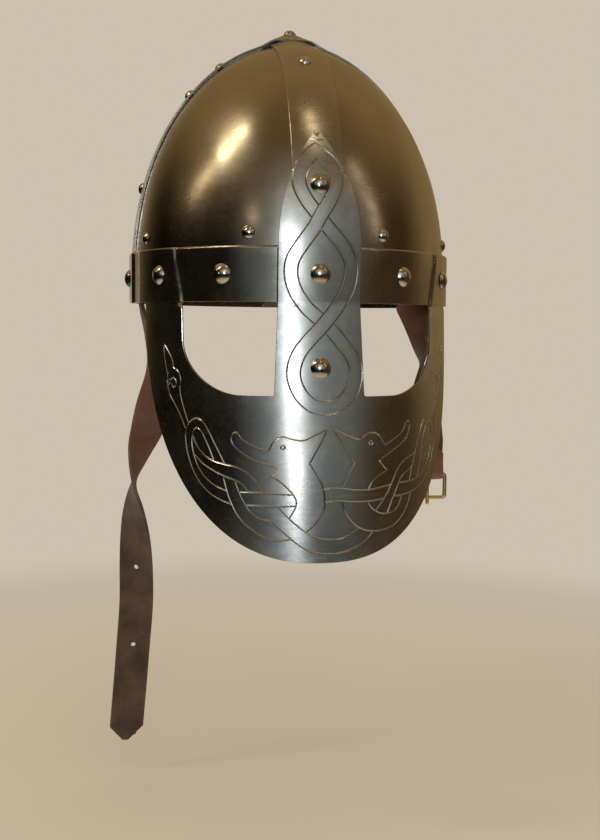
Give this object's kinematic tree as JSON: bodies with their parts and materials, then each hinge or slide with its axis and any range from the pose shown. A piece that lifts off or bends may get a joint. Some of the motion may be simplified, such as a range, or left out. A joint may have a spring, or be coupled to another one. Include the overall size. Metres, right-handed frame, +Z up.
{
  "type": "viking helmet",
  "caption": "Riveted banded iron helmet with a full engraved face plate, eye openings, a raised nasal, a leather liner and a buckled chin strap.",
  "frame": {"origin": "centre of the head opening, in the plane of the rim", "axes": "+Z up through the crown, the face looks along -Y, +X to the wearer's left"},
  "size_m": [0.2192, 0.2441, 0.446],
  "materials": {
    "dome_steel": "polished, lightly brushed sheet",
    "band_steel": "polished, lightly brushed strip",
    "mask_steel": "satin sheet with engraved ornament",
    "rivet_steel": "polished domed heads",
    "liner_leather": "vegetable-tanned, rough flesh side in",
    "strap_leather": "smooth grain, raw edges",
    "lace_leather": "round lace",
    "brass": "cast and filed, slightly dull"
  },
  "bodies": {
    "shell": {"front_left_plate": "dome_steel", "front_right_plate": "dome_steel", "rear_left_plate": "dome_steel", "rear_right_plate": "dome_steel", "crest_band": "band_steel", "side_band": "band_steel", "brow_band": "band_steel", "face_plate": "mask_steel", "brow_rivets": "rivet_steel", "plate_rivets": "rivet_steel", "crest_rivets": "rivet_steel", "side_rivets": "rivet_steel", "apex_rivet": "rivet_steel", "nasal_rivets": "rivet_steel", "liner": "liner_leather", "liner_washers": "brass", "crown_lace": "lace_leather", "strap_rivets": "rivet_steel", "strap_washers": "brass"},
    "long_strap": {"long_strap": "strap_leather"},
    "buckle_strap": {"buckle_strap": "strap_leather", "fold_rivet": "brass"},
    "buckle_frame": {"buckle_frame": "brass"},
    "buckle_prong": {"buckle_prong": "brass"}
  },
  "joints": [
    {"name": "long_strap_swing", "type": "hinge", "parent": "shell", "child": "long_strap", "pos_m": [-0.0927, 0, 0.015], "axis": [1, 0, 0], "range_deg": [-30, 40]},
    {"name": "buckle_strap_swing", "type": "hinge", "parent": "shell", "child": "buckle_strap", "pos_m": [0.0927, 0, 0.015], "axis": [1, 0, 0], "range_deg": [-30, 40]},
    {"name": "buckle_hinge", "type": "hinge", "parent": "buckle_strap", "child": "buckle_frame", "pos_m": [0.0942, 0, -0.109], "axis": [1, 0, 0], "range_deg": [-40, 60]},
    {"name": "prong_hinge", "type": "hinge", "parent": "buckle_frame", "child": "buckle_prong", "pos_m": [0.0942, 0, -0.109], "axis": [-1, 0, 0], "range_deg": [0, 65]}
  ]
}
